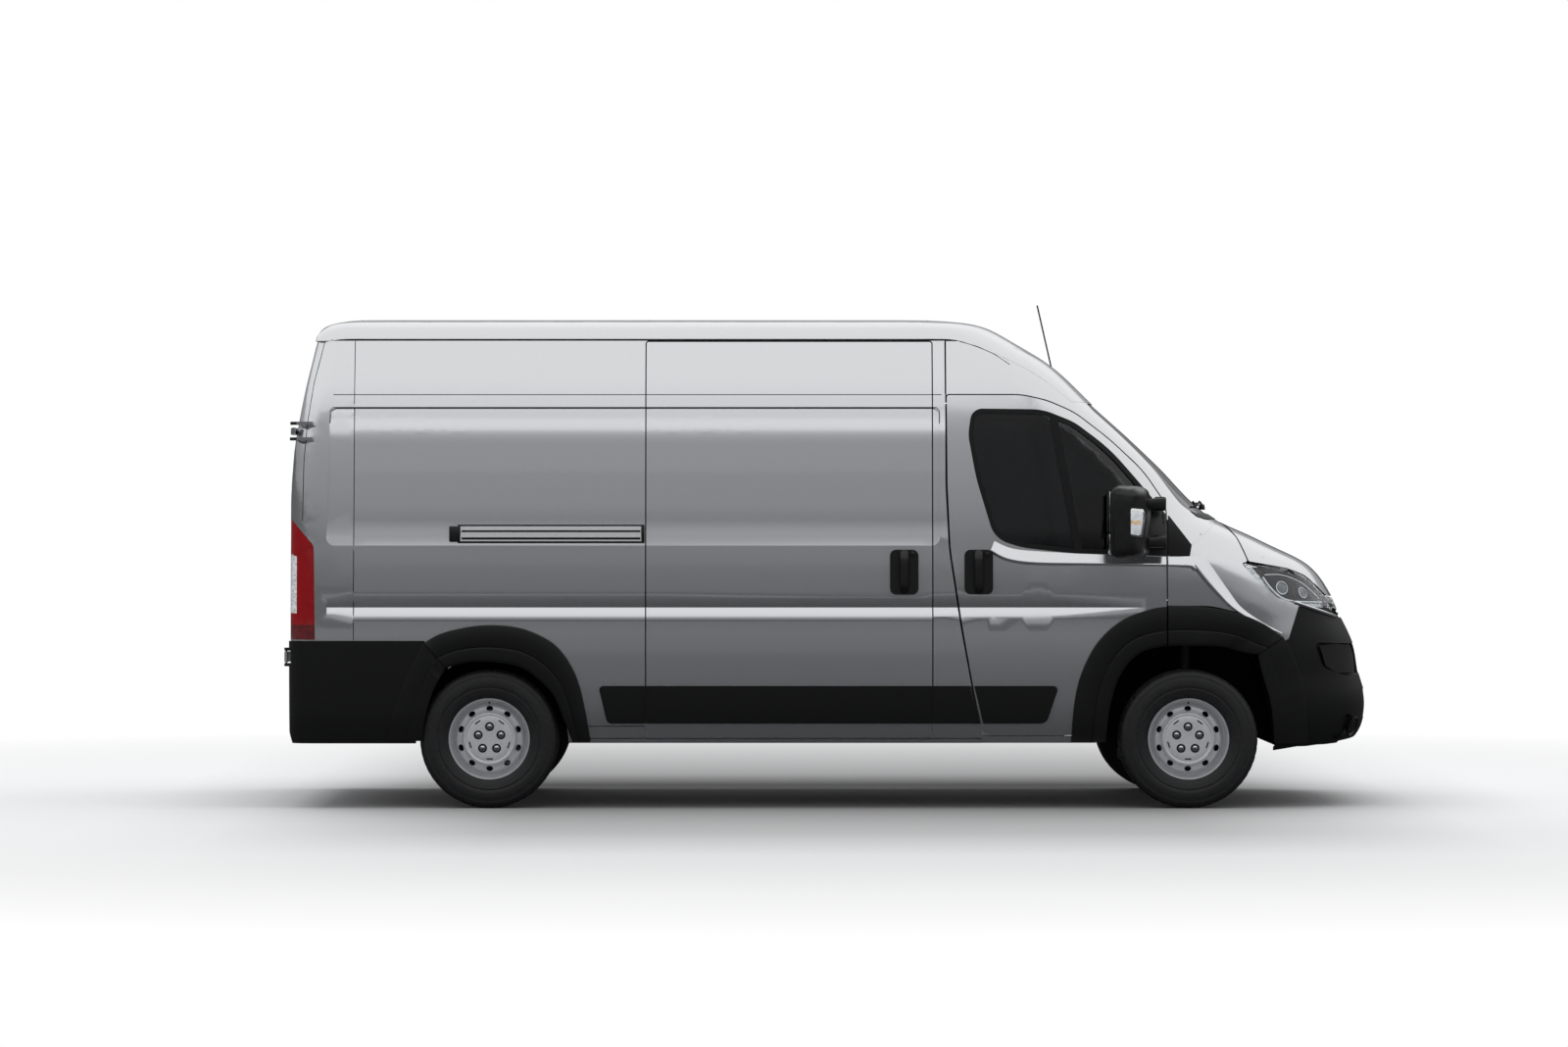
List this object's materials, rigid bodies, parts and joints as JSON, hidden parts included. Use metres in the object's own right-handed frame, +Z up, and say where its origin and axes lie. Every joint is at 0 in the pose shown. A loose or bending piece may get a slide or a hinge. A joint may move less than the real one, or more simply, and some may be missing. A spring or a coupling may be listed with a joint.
{
  "type": "panel van",
  "caption": "Medium high-roof panel van with hinged cab doors, twin rear doors, bonnet, a side sliding door shown shut, steering and turning wheels.",
  "frame": {"origin": "on the ground, at the middle of the bounding box in plan", "axes": "+X forward to the nose, +Y to the vehicle's left, +Z up"},
  "size_m": [5.4039, 2.6368, 2.5209],
  "materials": {
    "black_plastic": "grained",
    "body_paint": "metallic silver grey lacquer",
    "cab_grey": "grained",
    "dark_glass": "tinted",
    "galvanised": "dull",
    "lamp_clear": "clear lens over silver reflector",
    "lamp_red": "clear red lens",
    "liner_black": "moulded felt",
    "rail_silver": "satin",
    "seat_cloth": "woven",
    "steel_dark": "chassis black",
    "tyre": "matt",
    "wheel_silver": "silver steel wheel lacquer"
  },
  "bodies": {
    "van_body": {"antenna": "black_plastic", "arch_liners": "liner_black", "body_mouldings": "black_plastic", "bulkhead": "body_paint", "cab_frame": "body_paint", "dashboard": "cab_grey", "engine_block": "steel_dark", "exhaust": "galvanised", "firewall": "body_paint", "floor_pan": "body_paint", "front_bumper": "black_plastic", "front_panel": "steel_dark", "front_subframe": "steel_dark", "front_wings": "body_paint", "fuel_tank": "liner_black", "grille": "black_plastic", "headlamps": "lamp_clear", "rear_axle": "steel_dark", "rear_bumper": "black_plastic", "rear_frame": "body_paint", "rear_hinge_pins": "steel_dark", "roof": "body_paint", "seats": "seat_cloth", "side_wall_left": "body_paint", "side_wall_right": "body_paint", "slide_rail": "rail_silver", "sliding_door": "body_paint", "sliding_door_trim": "black_plastic", "steering_wheel": "cab_grey", "tail_lamps": "lamp_red", "window_corners": "black_plastic", "windscreen": "dark_glass"},
    "door_left": {"front_door_left": "body_paint", "front_door_glass_left": "dark_glass", "front_door_trim_left": "black_plastic", "window_trim_left": "black_plastic", "door_mirror_left": "black_plastic"},
    "rear_leaf_left": {"rear_door_left": "body_paint"},
    "steer_knuckle_left": {"knuckle_left": "steel_dark"},
    "wheel_front_left": {"tyre_front_left": "tyre", "rim_front_left": "wheel_silver"},
    "wheel_rear_left": {"tyre_rear_left": "tyre", "rim_rear_left": "wheel_silver"},
    "door_right": {"front_door_right": "body_paint", "front_door_glass_right": "dark_glass", "front_door_trim_right": "black_plastic", "window_trim_right": "black_plastic", "door_mirror_right": "black_plastic"},
    "rear_leaf_right": {"rear_door_right": "body_paint"},
    "steer_knuckle_right": {"knuckle_right": "steel_dark"},
    "wheel_front_right": {"tyre_front_right": "tyre", "rim_front_right": "wheel_silver"},
    "wheel_rear_right": {"tyre_rear_right": "tyre", "rim_rear_right": "wheel_silver"},
    "bonnet_lid": {"bonnet": "body_paint"}
  },
  "joints": [
    {"name": "door_left_hinge", "type": "hinge", "parent": "van_body", "child": "door_left", "pos_m": [1.656, 1.042, 0.9], "axis": [0, 0, -1], "range_deg": [0, 70]},
    {"name": "rear_leaf_left_hinge", "type": "hinge", "parent": "van_body", "child": "rear_leaf_left", "pos_m": [-2.696, 0.93, 1.3], "axis": [0, 0, -1], "range_deg": [0, 180]},
    {"name": "steer_left", "type": "hinge", "parent": "van_body", "child": "steer_knuckle_left", "pos_m": [1.7585, 0.765, 0.3415], "axis": [0, 0, 1], "range_deg": [-35, 35]},
    {"name": "wheel_front_left_spin", "type": "hinge", "parent": "steer_knuckle_left", "child": "wheel_front_left", "pos_m": [1.7585, 0.905, 0.3415], "axis": [0, 1, 0], "continuous": true},
    {"name": "wheel_rear_left_spin", "type": "hinge", "parent": "van_body", "child": "wheel_rear_left", "pos_m": [-1.6915, 0.895, 0.3415], "axis": [0, 1, 0], "continuous": true},
    {"name": "door_right_hinge", "type": "hinge", "parent": "van_body", "child": "door_right", "pos_m": [1.656, -1.042, 0.9], "axis": [0, 0, 1], "range_deg": [0, 70]},
    {"name": "rear_leaf_right_hinge", "type": "hinge", "parent": "van_body", "child": "rear_leaf_right", "pos_m": [-2.696, -0.93, 1.3], "axis": [0, 0, 1], "range_deg": [0, 180]},
    {"name": "steer_right", "type": "hinge", "parent": "van_body", "child": "steer_knuckle_right", "pos_m": [1.7585, -0.765, 0.3415], "axis": [0, 0, 1], "range_deg": [-35, 35]},
    {"name": "wheel_front_right_spin", "type": "hinge", "parent": "steer_knuckle_right", "child": "wheel_front_right", "pos_m": [1.7585, -0.905, 0.3415], "axis": [0, 1, 0], "continuous": true},
    {"name": "wheel_rear_right_spin", "type": "hinge", "parent": "van_body", "child": "wheel_rear_right", "pos_m": [-1.6915, -0.895, 0.3415], "axis": [0, 1, 0], "continuous": true},
    {"name": "bonnet_hinge", "type": "hinge", "parent": "van_body", "child": "bonnet_lid", "pos_m": [1.95, 0, 1.436], "axis": [0, -1, 0], "range_deg": [0, 55]}
  ],
  "couplings": [
    {"joint": "steer_right", "follows": "steer_left", "ratio": 1}
  ]
}
